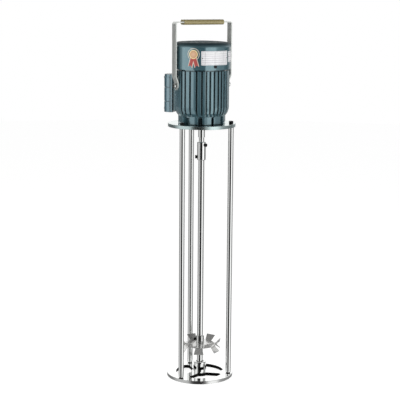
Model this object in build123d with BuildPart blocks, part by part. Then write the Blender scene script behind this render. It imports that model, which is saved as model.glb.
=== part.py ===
from build123d import *
import os
from math import cos, pi, radians, sin

os.makedirs("parts", exist_ok=True)

# A tank agitator: a three-rod cage that stands on a windowed plate, a sawtooth impeller on a long
# shaft, and an enclosed fan-cooled motor with a carrying handle on top.
# Sizes are in millimetres and angles in degrees. The origin is the centre of the bottom plate's
# underside, +Z runs up the shaft, and +X passes through the first tie rod.

# Fits
running_gap = 0.05
seat_gap = 0.02
slip_gap = 0.2
soft_gap = 0.3

# Cage: two round plates held apart by tie rods
plate_radius = 100.0
plate_thickness = 10.0
plate_edge = 0.6
rod_count = 3
rod_radius = 8.0
rod_circle = 88.0
rod_length = 756.0
rod_edge = 1.0
rod_relief_depth = 1.2
rod_relief_height = 2.6
rod_screw_radius = 4.0
rod_screw_reach = 22.0
rod_screw_head_radius = 6.5
rod_screw_head_height = 8.0
rod_screw_sink_radius = 7.4
head_inset = 0.2

# Windows in the bottom plate, between spokes that point at the rods
window_outer_radius = 72.5
window_inner_radius = 25.0
window_outer_corner = 11.0
window_inner_corner = 5.0
spoke_width = 24.0

# Bearing boss on the bottom plate
boss_radius = 19.5
boss_height = 32.0
boss_edge = 1.0
boss_bore_radius = 11.5
bush_length = 22.0
boss_screw_radius = 2.0
boss_screw_reach = 14.0
boss_screw_sink_radius = 3.8

# Agitator shaft, in the bush below and the coupling sleeve above
shaft_radius = 9.0
shaft_edge = 1.0
shaft_end_gap = 3.0

# Impeller: a sheet disc whose vanes are bent up and down in turn
impeller_height = 95.4
sheet_thickness = 2.0
vane_pairs = 6
vane_turn = 6.0
bend_radius = 46.2
bend_fillet = 2.5
tip_radius = 61.6
root_width = 20.4
tip_width = 30.3
vane_angle = 45.0
hub_radius = 12.5
hub_height = 28.0
hub_edge = 1.0
spigot_radius = 11.0
nut_radius = 13.5
nut_height = 5.0
hub_screw_height = 14.6
hub_screw_turn = 182.0
hub_screw_radius = 3.0
hub_screw_head_radius = 4.5
hub_screw_head_height = 6.0

# Coupling sleeve under the motor plate
sleeve_radius = 13.0
sleeve_length = 55.0
sleeve_edge = 1.5
sleeve_drop = 56.0
neck_radius = 8.0
neck_reach = 27.0
shaft_meeting_gap = 1.0
sleeve_screw_inset = 9.5
sleeve_screw_turns = (-30.0, 190.0)
sleeve_screw_radius = 3.0
sleeve_screw_head_radius = 5.2
sleeve_screw_head_height = 6.5
sleeve_spot_depth = 0.6

# Motor: its own X axis runs through the handle's two bolts
motor_turn = 36.5
collar_radius = 10.0
collar_drop = 43.0
core_seat_radius = 12.0
rear_seat_radius = 8.5
fan_seat_radius = 7.5
shaft_top = 214.0

# Drive-end shield, standing on the motor plate
shield_height = 24.0
shield_floor = 8.0
shield_radius = 62.0
shield_rim_height = 5.0
shield_neck_radius = 53.0
shield_wall = 4.0
lug_radius = 70.0
lug_width = 26.0
lug_angles = (0.0, 43.0, 76.0)
lug_edge = 1.5
pilot_radius = 40.0
pilot_depth = 3.0
bearing_hub_wall = 6.5
drive_bearing_bottom = 6.0
drive_bearing_width = 14.0
drive_bearing_radius = 23.5
inner_ring_wall = 4.0
seal_radius = 16.0
seal_thickness = 7.0
seal_shoulder = 3.0

# Finned housing
housing_bore_radius = 60.0
housing_top = 156.0
fin_radius = 80.0
fin_floor_radius = 70.0
fin_shoulder = 26.0
groove_width = 6.4
groove_floor_width = 4.6
groove_angles = (15.2, 25.5, 37.4, 51.8, 63.0, 71.8, 80.5)
flange_screw_count = 4
flange_screw_circle = 65.0
flange_screw_turn = 45.0
flange_screw_radius = 2.5
flange_screw_reach = 16.0
flange_screw_head_radius = 4.25
flange_screw_head_height = 5.0
flange_sink_depth = 5.6

# Rotor, stator and rear end shield
core_bottom = 52.0
core_length = 80.0
rotor_core_radius = 34.5
air_gap = 0.5
winding_height = 15.0
winding_inner_radius = 40.0
winding_outer_radius = 56.0
winding_round = 5.0
rear_bearing_bottom = 150.0
rear_bearing_width = 12.0
rear_bearing_radius = 20.0
rear_shield_thickness = 8.0
rear_shield_radius = 72.0
rear_spigot_depth = 5.0
rear_spigot_wall = 5.0
rear_hub_wall = 6.0
rear_hub_cap = 4.0
rear_hole_gap = 1.5
cowl_boss_width = 14.0
cowl_boss_height = 18.0
cowl_boss_inner = 58.0

# Fan and cowl
cowl_radius = 84.0
cowl_wall = 2.0
cowl_bottom = 160.4
cowl_shoulder_height = 224.0
cowl_shoulder_radius = 14.0
cowl_dome_rise = 3.0
cowl_screw_rise = 9.6
cowl_screw_count = 4
cowl_screw_radius = 2.5
cowl_screw_head_radius = 4.5
cowl_screw_head_height = 2.6
cowl_screw_reach = 12.0
grille_circles = (20.0, 33.0, 46.0, 59.0)
grille_slot_counts = (8, 12, 16, 20)
grille_slot_width = 6.0
grille_bar = 6.0
fan_bottom = 184.0
fan_hub_radius = 14.0
fan_hub_height = 22.0
fan_radius = 72.0
fan_disc_thickness = 2.0
fan_blade_count = 7
fan_blade_thickness = 2.5
fan_blade_height = 22.0
ring_thickness = 1.2
ring_width = 3.0

# Terminal and capacitor box
box_turn = 135.0
box_bottom = 30.0
box_height = 111.6
box_radius = 25.0
box_wall = 2.5
box_seat = 84.0
tray_depth = 6.0
gasket_thickness = 1.5
pad_margin = 6.0
wire_hole_radius = 7.0
seam_heights = (30.8, 72.6)
seam_width = 2.0
seam_depth = 1.1
cap_band = 8.0
cap_band_step = 1.1
post_radius = 4.0
post_inset = 10.0
cover_screw_radius = 2.0
cover_screw_head_radius = 3.6
cover_screw_head_height = 2.4
cover_screw_reach = 14.0
capacitor_radius = 13.0
capacitor_gap = 1.6
capacitor_rise = 32.0
terminal_rise = 16.0
terminal_size = (30.0, 14.0)
terminal_depth = 9.0
terminal_stud_radius = 2.0
terminal_stud_height = 6.0
gland_rise = 50.0
gland_offset = 12.5
gland_boss_radius = 11.0
gland_boss_reach = 27.0
gland_thread_radius = 8.0
gland_thread_length = 8.0
gland_hex_radius = 11.0
gland_hex_height = 5.0
gland_dome_radius = 9.5
gland_dome_height = 11.0
gland_cable_radius = 3.5

# Carrying handle: a bent strap on two bolts
strap_width = 25.0
strap_thickness = 3.0
strap_bend = 5.0
strap_span = 184.0
strap_top = 296.7
joggle_rise = 11.5
joggle_length = 16.0
pivot_turns = (0.0, 180.0)
pivot_height = 111.5
pivot_boss_radius = 14.0
pivot_boss_face = 82.5
pivot_bolt_radius = 4.0
pivot_bolt_reach = 16.0
pivot_head_radius = 6.5
pivot_head_height = 5.0
washer_radius = 8.5
washer_thickness = 1.6
strap_play = 0.1
grip_length = 130.0
grip_width = 29.0
grip_height = 15.0
grip_edge = 1.5

# Heights that follow from the sizes above
rod_top = plate_thickness + rod_length
mount_height = rod_top + plate_thickness
sleeve_top = mount_height - sleeve_drop
sleeve_bottom = sleeve_top - sleeve_length
neck_end = sleeve_top - neck_reach
disc_top = impeller_height + sheet_thickness / 2
disc_bottom = impeller_height - sheet_thickness / 2

# Places: the motor stands turned on its plate, and the box is turned further round the motor
cage_place = Location((0, 0, 0))
motor_place = Location((0, 0, mount_height), (0, 0, motor_turn))
box_place = motor_place * Location((0, 0, box_bottom), (0, 0, box_turn))

# The plane of profiles that are turned about the Z axis: its X is the radius and its Y the height
profile_plane = Plane.XZ


def from_below(height):
    # A level plane that faces down, with X as it was, for what is drilled or driven from below.
    return Plane(origin=(0, 0, height), x_dir=(1, 0, 0), z_dir=(0, 0, -1))


def radial_plane(turn, distance, height):
    # A plane square to a radius, with its normal pointing outwards.
    outward = (cos(radians(turn)), sin(radians(turn)), 0)
    origin = (distance * outward[0], distance * outward[1], height)
    return Plane(origin=origin, x_dir=(0, 0, 1), z_dir=outward)


def write_piece(piece, name, place=cage_place):
    # Moves a finished piece to its place, labels it and writes it.
    piece.part.move(place)
    piece.part.label = name
    export_step(piece.part, f"parts/{name}.step")


def socket_screw(radius, reach, head_radius, head_height):
    # A cap screw along Z: the head stands on the XY plane and the shank points down.
    socket_radius = head_radius * 0.55
    socket_depth = head_height * 0.5
    head_edge = head_height * 0.1
    with BuildPart() as screw:
        with BuildSketch():
            Circle(head_radius)
        extrude(amount=head_height)
        chamfer(screw.edges().group_by(Axis.Z)[-1], head_edge)
        with BuildSketch(Plane.XY.offset(head_height)):
            RegularPolygon(socket_radius, 6)
        extrude(amount=-socket_depth, mode=Mode.SUBTRACT)
        with BuildSketch():
            Circle(radius)
        extrude(amount=-reach)
    return screw.part


def sunk_screw(radius, reach, head_radius):
    # A countersunk screw along Z: the head's face lies on the XY plane and the shank points down.
    socket_radius = radius * 0.7
    with BuildPart() as screw:
        with BuildSketch(profile_plane):
            with BuildLine():
                Polyline(
                    (0, 0),
                    (head_radius, 0),
                    (radius, radius - head_radius),
                    (radius, -reach),
                    (0, -reach),
                    close=True,
                )
            make_face()
        revolve(axis=Axis.Z)
        with BuildSketch():
            RegularPolygon(socket_radius, 6)
        extrude(amount=-radius * 0.6, mode=Mode.SUBTRACT)
    return screw.part


def turned(points):
    # A solid turned about Z from its half profile, given as (radius, height) corners.
    with BuildPart() as solid:
        with BuildSketch(profile_plane):
            with BuildLine():
                Polyline(*points, close=True)
            make_face()
        revolve(axis=Axis.Z)
    return solid.part


def ring_points(inner, outer, bottom, top):
    # The corners of a plain ring's half profile.
    return [(inner, bottom), (outer, bottom), (outer, top), (inner, top)]


# Cage

rod_hole_radius = rod_screw_radius + slip_gap
boss_screw_circle = (boss_bore_radius + boss_radius) / 2

with BuildPart() as bottom_plate:
    with BuildSketch():
        Circle(plate_radius)
    extrude(amount=plate_thickness)
    fillet(bottom_plate.edges(), plate_edge)
    with BuildSketch() as windows:
        Circle(window_outer_radius)
        Circle(window_inner_radius, mode=Mode.SUBTRACT)
        with PolarLocations(0, rod_count):
            Rectangle(
                plate_radius,
                spoke_width,
                align=(Align.MIN, Align.CENTER),
                mode=Mode.SUBTRACT,
            )
        middle_radius = (window_inner_radius + window_outer_radius) / 2
        fillet([v for v in windows.vertices() if v.center().length < middle_radius], window_inner_corner)
        fillet([v for v in windows.vertices() if v.center().length > middle_radius], window_outer_corner)
    extrude(amount=plate_thickness, mode=Mode.SUBTRACT)
    with Locations(from_below(0)):
        with PolarLocations(rod_circle, rod_count):
            CounterSinkHole(rod_hole_radius, rod_screw_sink_radius + slip_gap, plate_thickness)
        with PolarLocations(boss_screw_circle, rod_count, start_angle=60):
            CounterSinkHole(
                boss_screw_radius + slip_gap, boss_screw_sink_radius + slip_gap, plate_thickness
            )
write_piece(bottom_plate, "bottom_plate")

with BuildPart() as tie_rod:
    with BuildSketch(Plane.XY.offset(plate_thickness)):
        Circle(rod_radius)
    extrude(amount=rod_length)
    chamfer(tie_rod.edges(), rod_edge)
    with BuildSketch(Plane.XY.offset(plate_thickness)):
        Circle(rod_radius)
        Circle(rod_radius - rod_relief_depth, mode=Mode.SUBTRACT)
    extrude(amount=rod_relief_height, mode=Mode.SUBTRACT)
    with Locations(from_below(plate_thickness), Plane.XY.offset(rod_top)):
        Hole(rod_screw_radius, rod_screw_reach)

for number in range(rod_count):
    with BuildPart() as placed_rod:
        with Locations(Location((0, 0, 0), (0, 0, number * 360 / rod_count))):
            with Locations((rod_circle, 0)):
                add(tie_rod.part)
    write_piece(placed_rod, f"tie_rod_{number + 1}")

with BuildPart() as rod_foot_screws:
    with Locations(from_below(head_inset)):
        with PolarLocations(rod_circle, rod_count):
            add(
                sunk_screw(
                    rod_screw_radius,
                    plate_thickness + rod_screw_reach - head_inset,
                    rod_screw_sink_radius,
                )
            )
write_piece(rod_foot_screws, "rod_foot_screws")

with BuildPart() as rod_top_screws:
    with Locations(Plane.XY.offset(mount_height)):
        with PolarLocations(rod_circle, rod_count):
            add(
                socket_screw(
                    rod_screw_radius,
                    plate_thickness + rod_screw_reach,
                    rod_screw_head_radius,
                    rod_screw_head_height,
                )
            )
write_piece(rod_top_screws, "rod_top_screws")

with BuildPart() as bearing_housing:
    with BuildSketch(Plane.XY.offset(plate_thickness)):
        Circle(boss_radius)
        Circle(boss_bore_radius, mode=Mode.SUBTRACT)
    extrude(amount=boss_height)
    chamfer(bearing_housing.edges().group_by(Axis.Z)[-1], boss_edge)
    with Locations(from_below(plate_thickness)):
        with PolarLocations(boss_screw_circle, rod_count, start_angle=60):
            Hole(boss_screw_radius, boss_screw_reach)
write_piece(bearing_housing, "bearing_housing")

with BuildPart() as bearing_bush:
    with BuildSketch(Plane.XY.offset(plate_thickness)):
        Circle(boss_bore_radius - seat_gap)
        Circle(shaft_radius + running_gap, mode=Mode.SUBTRACT)
    extrude(amount=bush_length)
write_piece(bearing_bush, "bearing_bush")

with BuildPart() as bearing_screws:
    with Locations(from_below(head_inset)):
        with PolarLocations(boss_screw_circle, rod_count, start_angle=60):
            add(
                sunk_screw(
                    boss_screw_radius,
                    plate_thickness + boss_screw_reach - head_inset,
                    boss_screw_sink_radius,
                )
            )
write_piece(bearing_screws, "bearing_screws")

screw_turn_below = -motor_turn - flange_screw_turn

with BuildPart() as motor_plate:
    with BuildSketch(Plane.XY.offset(rod_top)):
        Circle(plate_radius)
    extrude(amount=plate_thickness)
    fillet(motor_plate.edges(), plate_edge)
    with BuildSketch(Plane.XY.offset(rod_top)):
        Circle(pilot_radius + slip_gap)
        with PolarLocations(rod_circle, rod_count):
            Circle(rod_hole_radius)
    extrude(amount=plate_thickness, mode=Mode.SUBTRACT)
    with Locations(from_below(rod_top)):
        with PolarLocations(flange_screw_circle, flange_screw_count, start_angle=screw_turn_below):
            CounterBoreHole(
                flange_screw_radius + slip_gap,
                flange_screw_head_radius + slip_gap,
                flange_sink_depth,
                plate_thickness,
            )
write_piece(motor_plate, "motor_plate")

# Rotating parts

shaft_bottom = plate_thickness + shaft_end_gap
shaft_end = neck_end - shaft_meeting_gap

with BuildPart() as agitator_shaft:
    with BuildSketch(Plane.XY.offset(shaft_bottom)):
        Circle(shaft_radius)
    extrude(amount=shaft_end - shaft_bottom)
    chamfer(agitator_shaft.edges(), shaft_edge)
write_piece(agitator_shaft, "agitator_shaft")

hub_bore_radius = shaft_radius + seat_gap
hub_top = disc_top + hub_height
nut_bottom = disc_bottom - nut_height
hub_screw_level = disc_top + hub_screw_height

with BuildPart() as impeller_hub:
    with BuildSketch(Plane.XY.offset(disc_top)):
        Circle(hub_radius)
    extrude(amount=hub_height)
    chamfer(impeller_hub.edges().group_by(Axis.Z)[-1], hub_edge)
    with BuildSketch(Plane.XY.offset(nut_bottom)):
        Circle(spigot_radius)
    extrude(amount=disc_top - nut_bottom)
    with BuildSketch(Plane.XY.offset(nut_bottom)):
        Circle(hub_bore_radius)
    extrude(amount=hub_top - nut_bottom, mode=Mode.SUBTRACT)
    with BuildSketch(radial_plane(hub_screw_turn, 0, hub_screw_level)):
        Circle(hub_screw_radius)
    extrude(amount=hub_radius, mode=Mode.SUBTRACT)
write_piece(impeller_hub, "impeller_hub")

with BuildPart() as impeller_nut:
    with BuildSketch(Plane.XY.offset(nut_bottom)):
        RegularPolygon(nut_radius, 6)
        Circle(spigot_radius + seat_gap, mode=Mode.SUBTRACT)
    extrude(amount=nut_height)
write_piece(impeller_nut, "impeller_nut")


def vane(side):
    # One vane: a strip of sheet bent up (side 1) or down (side -1), cut to a flared outline in plan.
    run = tip_radius - bend_radius
    rise = side * run * sin(radians(vane_angle)) / cos(radians(vane_angle))
    strip_start = bend_radius - root_width / 2
    with BuildPart() as strip:
        with BuildSketch(Plane.XZ.offset(-tip_width)):
            with BuildLine() as bend:
                FilletPolyline(
                    (strip_start, impeller_height),
                    (bend_radius, impeller_height),
                    (tip_radius, impeller_height + rise),
                    radius=bend_fillet,
                )
            trace(line_width=sheet_thickness)
        extrude(amount=tip_width * 2)
        with BuildSketch(Plane.XY.offset(impeller_height - tip_radius)):
            with BuildLine():
                Polyline(
                    (strip_start, -root_width / 2),
                    (bend_radius, -root_width / 2),
                    (tip_radius + sheet_thickness, -tip_width / 2),
                    (tip_radius + sheet_thickness, tip_width / 2),
                    (bend_radius, root_width / 2),
                    (strip_start, root_width / 2),
                    close=True,
                )
            make_face()
        extrude(amount=tip_radius * 2, mode=Mode.INTERSECT)
    return strip.part


with BuildPart() as impeller_disc:
    with BuildSketch(Plane.XY.offset(disc_bottom)):
        RegularPolygon(
            bend_radius - bend_fillet,
            vane_pairs * 2,
            major_radius=False,
            rotation=180 / vane_pairs / 2 + vane_turn,
        )
        Circle(spigot_radius + seat_gap, mode=Mode.SUBTRACT)
    extrude(amount=sheet_thickness)
    with PolarLocations(0, vane_pairs, start_angle=vane_turn):
        add(vane(1))
    with PolarLocations(0, vane_pairs, start_angle=vane_turn + 180 / vane_pairs):
        add(vane(-1))
write_piece(impeller_disc, "impeller_disc")

with BuildPart() as hub_screw:
    with Locations(radial_plane(hub_screw_turn, hub_radius, hub_screw_level)):
        add(
            socket_screw(
                hub_screw_radius,
                hub_radius - hub_bore_radius,
                hub_screw_head_radius,
                hub_screw_head_height,
            )
        )
write_piece(hub_screw, "hub_screw")

sleeve_screw_levels = (sleeve_top - sleeve_screw_inset, sleeve_bottom + sleeve_screw_inset)
sleeve_seat_radius = sleeve_radius - sleeve_spot_depth
sleeve_screw_places = list(zip(sleeve_screw_turns, sleeve_screw_levels, (neck_radius, shaft_radius)))

with BuildPart() as coupling_sleeve:
    with BuildSketch(Plane.XY.offset(sleeve_bottom)):
        Circle(sleeve_radius)
    extrude(amount=sleeve_length)
    chamfer(coupling_sleeve.edges(), sleeve_edge)
    with BuildSketch(Plane.XY.offset(sleeve_bottom)):
        Circle(shaft_radius + seat_gap)
    extrude(amount=shaft_end - sleeve_bottom, mode=Mode.SUBTRACT)
    with BuildSketch(Plane.XY.offset(shaft_end)):
        Circle(neck_radius + seat_gap)
    extrude(amount=sleeve_top - shaft_end, mode=Mode.SUBTRACT)
    for turn, level, _ in sleeve_screw_places:
        with BuildSketch(radial_plane(turn, sleeve_seat_radius, level)):
            Circle(sleeve_screw_head_radius + slip_gap)
        extrude(amount=sleeve_radius, mode=Mode.SUBTRACT)
        with BuildSketch(radial_plane(turn, 0, level)):
            Circle(sleeve_screw_radius)
        extrude(amount=sleeve_radius, mode=Mode.SUBTRACT)
write_piece(coupling_sleeve, "coupling_sleeve")

with BuildPart() as coupling_screws:
    for turn, level, clamped_radius in sleeve_screw_places:
        with Locations(radial_plane(turn, sleeve_seat_radius, level)):
            add(
                socket_screw(
                    sleeve_screw_radius,
                    sleeve_seat_radius - clamped_radius,
                    sleeve_screw_head_radius,
                    sleeve_screw_head_height,
                )
            )
write_piece(coupling_screws, "coupling_screws")

drive_bearing_top = drive_bearing_bottom + drive_bearing_width
rear_bearing_top = rear_bearing_bottom + rear_bearing_width
core_top = core_bottom + core_length
neck_depth = sleeve_drop + neck_reach

with BuildPart() as motor_shaft:
    add(
        turned(
            [
                (0, -neck_depth),
                (neck_radius, -neck_depth),
                (neck_radius, -collar_drop),
                (collar_radius, -collar_drop),
                (collar_radius, drive_bearing_top),
                (core_seat_radius, drive_bearing_top),
                (core_seat_radius, rear_bearing_bottom),
                (rear_seat_radius, rear_bearing_bottom),
                (rear_seat_radius, fan_bottom),
                (fan_seat_radius, fan_bottom),
                (fan_seat_radius, shaft_top),
                (0, shaft_top),
            ]
        )
    )
write_piece(motor_shaft, "motor_shaft", motor_place)

with BuildPart() as rotor_core:
    add(turned(ring_points(core_seat_radius + seat_gap, rotor_core_radius, core_bottom, core_top)))
write_piece(rotor_core, "rotor_core", motor_place)

drive_ring_bore = collar_radius + seat_gap
drive_ring_radius = collar_radius + inner_ring_wall
rear_ring_bore = rear_seat_radius + seat_gap
rear_ring_radius = rear_seat_radius + inner_ring_wall

with BuildPart() as drive_bearing_inner_ring:
    add(turned(ring_points(drive_ring_bore, drive_ring_radius, drive_bearing_bottom, drive_bearing_top)))
write_piece(drive_bearing_inner_ring, "drive_bearing_inner_ring", motor_place)

with BuildPart() as rear_bearing_inner_ring:
    add(turned(ring_points(rear_ring_bore, rear_ring_radius, rear_bearing_bottom, rear_bearing_top)))
write_piece(rear_bearing_inner_ring, "rear_bearing_inner_ring", motor_place)

fan_disc_height = fan_bottom + fan_disc_thickness

with BuildPart() as cooling_fan:
    with BuildSketch(Plane.XY.offset(fan_bottom)):
        Circle(fan_hub_radius)
    extrude(amount=fan_hub_height)
    with BuildSketch(Plane.XY.offset(fan_bottom)):
        Circle(fan_radius)
    extrude(amount=fan_disc_thickness)
    with BuildSketch(Plane.XY.offset(fan_disc_height)):
        with PolarLocations(0, fan_blade_count):
            Rectangle(fan_radius, fan_blade_thickness, align=(Align.MIN, Align.CENTER))
    extrude(amount=fan_blade_height)
    with BuildSketch(Plane.XY.offset(fan_bottom)):
        Circle(fan_seat_radius + seat_gap)
    extrude(amount=fan_disc_thickness + fan_blade_height, mode=Mode.SUBTRACT)
write_piece(cooling_fan, "cooling_fan", motor_place)

with BuildPart() as fan_retaining_ring:
    with BuildSketch(Plane.XY.offset(fan_bottom + fan_disc_thickness + fan_blade_height)):
        Circle(fan_seat_radius + ring_width)
        Circle(fan_seat_radius + seat_gap, mode=Mode.SUBTRACT)
        with Locations((fan_seat_radius + ring_width, 0)):
            Rectangle(ring_width * 2 + fan_seat_radius / 2, ring_width, mode=Mode.SUBTRACT)
    extrude(amount=ring_thickness)
write_piece(fan_retaining_ring, "fan_retaining_ring", motor_place)

# Motor: shields, housing and windings

seal_bottom = -pilot_depth
seal_top = seal_bottom + seal_thickness
bearing_hub_radius = drive_bearing_radius + bearing_hub_wall
mirrored_lugs = sorted({turn for a in lug_angles for turn in (a, 180 - a, 180 + a, (360 - a) % 360)})

with BuildPart() as drive_end_shield:
    with BuildSketch():
        Circle(shield_neck_radius)
        with Locations(*[Location((0, 0, 0), (0, 0, turn)) for turn in mirrored_lugs]):
            Rectangle(lug_radius, lug_width, align=(Align.MIN, Align.CENTER))
        Circle(lug_radius, mode=Mode.INTERSECT)
    extrude(amount=shield_height)
    foot_arcs = drive_end_shield.edges().group_by(Axis.Z)[0].filter_by(GeomType.CIRCLE)
    chamfer([arc for arc in foot_arcs if arc.radius > shield_radius], lug_edge)
    with BuildSketch(Plane.XY.offset(shield_height)):
        Circle(shield_radius)
    extrude(amount=-shield_rim_height)
    with BuildSketch(Plane.XY.offset(shield_floor)):
        Circle(shield_neck_radius - shield_wall)
        Circle(bearing_hub_radius, mode=Mode.SUBTRACT)
    extrude(amount=shield_height, mode=Mode.SUBTRACT)
    with BuildSketch():
        Circle(pilot_radius)
    extrude(amount=-pilot_depth)
    with BuildSketch(Plane.XY.offset(drive_bearing_bottom)):
        Circle(drive_bearing_radius + seat_gap)
    extrude(amount=shield_height, mode=Mode.SUBTRACT)
    with BuildSketch(Plane.XY.offset(seal_bottom)):
        Circle(seal_radius)
    extrude(amount=seal_thickness, mode=Mode.SUBTRACT)
    with BuildSketch(Plane.XY.offset(seal_top)):
        Circle(seal_radius - seal_shoulder)
    extrude(amount=shield_height, mode=Mode.SUBTRACT)
    with Locations(from_below(0)):
        with PolarLocations(flange_screw_circle, flange_screw_count, start_angle=flange_screw_turn):
            Hole(flange_screw_radius + slip_gap, shield_height)
write_piece(drive_end_shield, "drive_end_shield", motor_place)

shoulder_depth = fin_radius - fin_floor_radius
mirrored_grooves = sorted(
    {turn for a in groove_angles for turn in (a, 180 - a, 180 + a, 360 - a)} | {90.0, 270.0}
)
box_middle = box_bottom + box_height / 2
pad_height = box_height - 2 * pad_margin

with BuildPart() as motor_housing:
    with BuildSketch(profile_plane):
        with BuildLine():
            shoulder_start = (fin_floor_radius, shield_height)
            shoulder_end = (fin_radius, shield_height + fin_shoulder)
            Polyline(
                shoulder_end,
                (fin_radius, housing_top),
                (housing_bore_radius, housing_top),
                (housing_bore_radius, shield_height),
                shoulder_start,
            )
            TangentArc(shoulder_end, shoulder_start, tangent=(0, -1))
        make_face()
    revolve(axis=Axis.Z)
    with BuildSketch(Plane.XY.offset(shield_height)):
        with Locations(*[Location((0, 0, 0), (0, 0, turn)) for turn in mirrored_grooves]):
            Polygon(
                (fin_floor_radius, -groove_floor_width / 2),
                (fin_radius + shoulder_depth, -groove_width / 2),
                (fin_radius + shoulder_depth, groove_width / 2),
                (fin_floor_radius, groove_floor_width / 2),
                align=None,
            )
    extrude(amount=housing_top - shield_height, mode=Mode.SUBTRACT)
    for turn in pivot_turns:
        with BuildSketch(radial_plane(turn, pivot_boss_face, pivot_height)):
            Circle(pivot_boss_radius)
        extrude(amount=housing_bore_radius - pivot_boss_face)
    with BuildSketch(Plane.XY.offset(box_bottom + pad_margin).rotated((0, 0, box_turn))):
        with Locations((housing_bore_radius, 0)):
            Rectangle(
                box_seat - housing_bore_radius,
                2 * (box_radius - pad_margin),
                align=(Align.MIN, Align.CENTER),
            )
    extrude(amount=pad_height)
    with BuildSketch(Plane.XY.offset(shield_height)):
        Circle(housing_bore_radius)
    extrude(amount=housing_top - shield_height, mode=Mode.SUBTRACT)
    for turn in pivot_turns:
        with BuildSketch(radial_plane(turn, pivot_boss_face, pivot_height)):
            Circle(pivot_bolt_radius)
        extrude(amount=-pivot_bolt_reach, mode=Mode.SUBTRACT)
    with BuildSketch(radial_plane(box_turn, 0, box_middle)):
        Circle(wire_hole_radius)
    extrude(amount=box_seat, mode=Mode.SUBTRACT)
    with Locations(from_below(shield_height)):
        with PolarLocations(flange_screw_circle, flange_screw_count, start_angle=flange_screw_turn):
            Hole(flange_screw_radius, flange_screw_reach)
    with Locations(Plane.XY.offset(housing_top)):
        with PolarLocations(flange_screw_circle, flange_screw_count, start_angle=flange_screw_turn):
            Hole(flange_screw_radius, flange_screw_reach)
write_piece(motor_housing, "motor_housing", motor_place)

with BuildPart() as stator_core:
    add(
        turned(
            ring_points(rotor_core_radius + air_gap, housing_bore_radius - seat_gap, core_bottom, core_top)
        )
    )
write_piece(stator_core, "stator_core", motor_place)

with BuildPart() as stator_windings:
    for bottom in (core_bottom - winding_height, core_top):
        with BuildSketch(profile_plane):
            with Locations((winding_inner_radius, bottom)):
                Rectangle(
                    winding_outer_radius - winding_inner_radius,
                    winding_height,
                    align=(Align.MIN, Align.MIN),
                )
        revolve(axis=Axis.Z)
    away_from_core = stator_windings.edges().group_by(Axis.Z)
    fillet([*away_from_core[0], *away_from_core[-1]], winding_round)
write_piece(stator_windings, "stator_windings", motor_place)

with BuildPart() as drive_bearing_outer_ring:
    add(
        turned(
            ring_points(
                drive_ring_radius + running_gap, drive_bearing_radius, drive_bearing_bottom, drive_bearing_top
            )
        )
    )
write_piece(drive_bearing_outer_ring, "drive_bearing_outer_ring", motor_place)

with BuildPart() as shaft_seal:
    add(turned(ring_points(collar_radius + soft_gap, seal_radius - seat_gap, seal_bottom, seal_top)))
write_piece(shaft_seal, "shaft_seal", motor_place)

flange_head_level = flange_sink_depth - plate_thickness

with BuildPart() as flange_screws:
    with Locations(from_below(flange_head_level)):
        with PolarLocations(flange_screw_circle, flange_screw_count, start_angle=flange_screw_turn):
            add(
                socket_screw(
                    flange_screw_radius,
                    shield_height + flange_screw_reach - flange_head_level,
                    flange_screw_head_radius,
                    flange_screw_head_height,
                )
            )
write_piece(flange_screws, "flange_screws", motor_place)

rear_shield_top = housing_top + rear_shield_thickness
rear_cap_top = rear_bearing_top + rear_hub_cap
cowl_inner_radius = cowl_radius - cowl_wall
cowl_screw_level = cowl_bottom + cowl_screw_rise
cowl_screw_turns = [360 / cowl_screw_count * number for number in range(cowl_screw_count)]

with BuildPart() as rear_end_shield:
    add(
        turned(
            [
                (rear_ring_radius - rear_hole_gap, rear_cap_top),
                (rear_ring_radius - rear_hole_gap, rear_bearing_top),
                (rear_bearing_radius + seat_gap, rear_bearing_top),
                (rear_bearing_radius + seat_gap, rear_bearing_bottom),
                (rear_bearing_radius + rear_hub_wall, rear_bearing_bottom),
                (rear_bearing_radius + rear_hub_wall, housing_top),
                (housing_bore_radius - rear_spigot_wall, housing_top),
                (housing_bore_radius - rear_spigot_wall, housing_top - rear_spigot_depth),
                (housing_bore_radius - seat_gap, housing_top - rear_spigot_depth),
                (housing_bore_radius - seat_gap, housing_top),
                (rear_shield_radius, housing_top),
                (rear_shield_radius, rear_shield_top),
                (rear_bearing_radius + rear_hub_wall, rear_shield_top),
                (rear_bearing_radius + rear_hub_wall, rear_cap_top),
            ]
        )
    )
    with BuildSketch(Plane.XY.offset(rear_shield_top)):
        with PolarLocations(0, cowl_screw_count):
            with Locations((cowl_boss_inner, 0)):
                Rectangle(
                    cowl_inner_radius - cowl_boss_inner, cowl_boss_width, align=(Align.MIN, Align.CENTER)
                )
        Circle(cowl_inner_radius - seat_gap, mode=Mode.INTERSECT)
    extrude(amount=cowl_boss_height - rear_shield_thickness)
    for turn in cowl_screw_turns:
        with BuildSketch(radial_plane(turn, cowl_radius, cowl_screw_level)):
            Circle(cowl_screw_radius)
        extrude(amount=-cowl_screw_reach, mode=Mode.SUBTRACT)
    with Locations(Plane.XY.offset(rear_shield_top)):
        with PolarLocations(flange_screw_circle, flange_screw_count, start_angle=flange_screw_turn):
            Hole(flange_screw_radius + slip_gap, rear_shield_thickness)
write_piece(rear_end_shield, "rear_end_shield", motor_place)

with BuildPart() as rear_shield_screws:
    with Locations(Plane.XY.offset(rear_shield_top)):
        with PolarLocations(flange_screw_circle, flange_screw_count, start_angle=flange_screw_turn):
            add(
                socket_screw(
                    flange_screw_radius,
                    rear_shield_thickness + flange_screw_reach,
                    flange_screw_head_radius,
                    flange_screw_head_height,
                )
            )
write_piece(rear_shield_screws, "rear_shield_screws", motor_place)

with BuildPart() as rear_bearing_outer_ring:
    add(
        turned(
            ring_points(
                rear_ring_radius + running_gap, rear_bearing_radius, rear_bearing_bottom, rear_bearing_top
            )
        )
    )
write_piece(rear_bearing_outer_ring, "rear_bearing_outer_ring", motor_place)

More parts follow.
